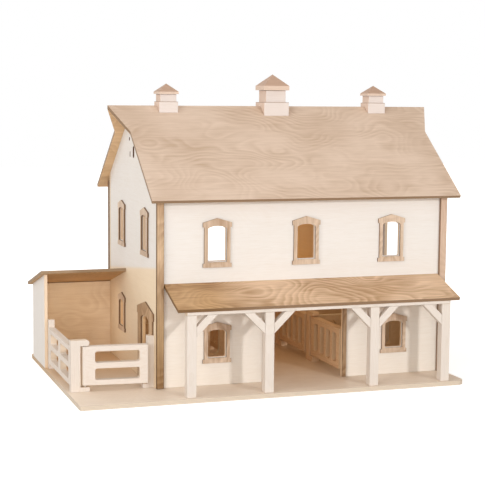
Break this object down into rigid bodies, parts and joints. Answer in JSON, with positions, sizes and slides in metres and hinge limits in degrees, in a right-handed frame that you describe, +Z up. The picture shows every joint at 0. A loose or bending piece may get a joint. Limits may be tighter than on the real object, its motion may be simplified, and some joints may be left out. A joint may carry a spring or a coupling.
{
  "type": "toy barn",
  "caption": "Wooden two-storey toy stable barn with gabled roof, cupolas, post-and-beam porch, swinging stall doors, lean-to shelter and fenced paddock with a gate.",
  "frame": {"origin": "centre of the base board's underside, at floor level", "axes": "+X along the front of the barn to the viewer's right, +Y from the porch to the back, +Z up"},
  "size_m": [0.8694, 0.5557, 0.6429],
  "materials": {
    "pale_birch": "smooth unfinished birch plywood",
    "tan_birch": "oiled birch plywood",
    "roof_birch": "oiled birch plywood",
    "porch_birch": "oiled birch plywood",
    "softwood": "sanded unfinished softwood"
  },
  "bodies": {
    "barn": {"base_board": "pale_birch", "front_wall": "pale_birch", "left_gable_wall": "pale_birch", "right_gable_wall": "pale_birch", "loft_floor": "pale_birch", "lean_to_side": "pale_birch", "lean_to_back": "pale_birch", "stall_partition_left": "pale_birch", "stall_partition_right": "pale_birch", "rear_wall": "pale_birch", "loft_window_left": "tan_birch", "loft_window_middle": "tan_birch", "loft_window_right": "tan_birch", "stall_window_left": "tan_birch", "stall_window_right": "tan_birch", "gable_window_front": "tan_birch", "gable_window_rear": "tan_birch", "paddock_window": "tan_birch", "side_door_frame": "tan_birch", "doorway_trim": "tan_birch", "front_corner_trim_left": "tan_birch", "front_corner_trim_right": "tan_birch", "roof_front_sheet": "roof_birch", "roof_rear_sheet": "roof_birch", "lean_to_roof": "roof_birch", "loft_partition": "roof_birch", "cupola_roof_left": "roof_birch", "cupola_roof_middle": "roof_birch", "cupola_roof_right": "roof_birch", "porch_roof": "porch_birch", "porch_beam": "softwood", "porch_post_1": "softwood", "porch_post_2": "softwood", "porch_post_3": "softwood", "porch_post_4": "softwood", "porch_brace_1_right": "softwood", "porch_brace_2_left": "softwood", "porch_brace_2_right": "softwood", "porch_brace_3_left": "softwood", "porch_brace_3_right": "softwood", "porch_brace_4_left": "softwood", "gate_post": "softwood", "latch_post": "softwood", "paddock_fence": "softwood", "fence_end_post": "softwood", "stall_post_front_left": "softwood", "stall_post_front_right": "softwood", "stall_post_rear_left": "softwood", "stall_post_rear_right": "softwood", "cupola_body_left": "softwood", "cupola_body_middle": "softwood", "cupola_body_right": "softwood", "rear_corner_post_left": "softwood", "rear_corner_post_right": "softwood"},
    "paddock_gate": {"paddock_gate": "softwood"},
    "stall_door_front_left": {"stall_door_front_left": "softwood"},
    "stall_door_rear_left": {"stall_door_rear_left": "softwood"},
    "stall_door_front_right": {"stall_door_front_right": "softwood"},
    "stall_door_rear_right": {"stall_door_rear_right": "softwood"}
  },
  "joints": [
    {"name": "paddock_gate_hinge", "type": "hinge", "parent": "barn", "child": "paddock_gate", "pos_m": [-0.37145, -0.1405, 0.0608], "axis": [0, 0, 1], "range_deg": [-85, 95]},
    {"name": "stall_door_front_left_hinge", "type": "hinge", "parent": "barn", "child": "stall_door_front_left", "pos_m": [-0.00225, 0.0075, 0.06655], "axis": [0, 0, -1], "range_deg": [-90, 90]},
    {"name": "stall_door_rear_left_hinge", "type": "hinge", "parent": "barn", "child": "stall_door_rear_left", "pos_m": [-0.00225, 0.2067, 0.06655], "axis": [0, 0, -1], "range_deg": [-90, 90]},
    {"name": "stall_door_front_right_hinge", "type": "hinge", "parent": "barn", "child": "stall_door_front_right", "pos_m": [0.17875, 0.0075, 0.06655], "axis": [0, 0, -1], "range_deg": [-90, 90]},
    {"name": "stall_door_rear_right_hinge", "type": "hinge", "parent": "barn", "child": "stall_door_rear_right", "pos_m": [0.17875, 0.2067, 0.06655], "axis": [0, 0, -1], "range_deg": [-90, 90]}
  ]
}
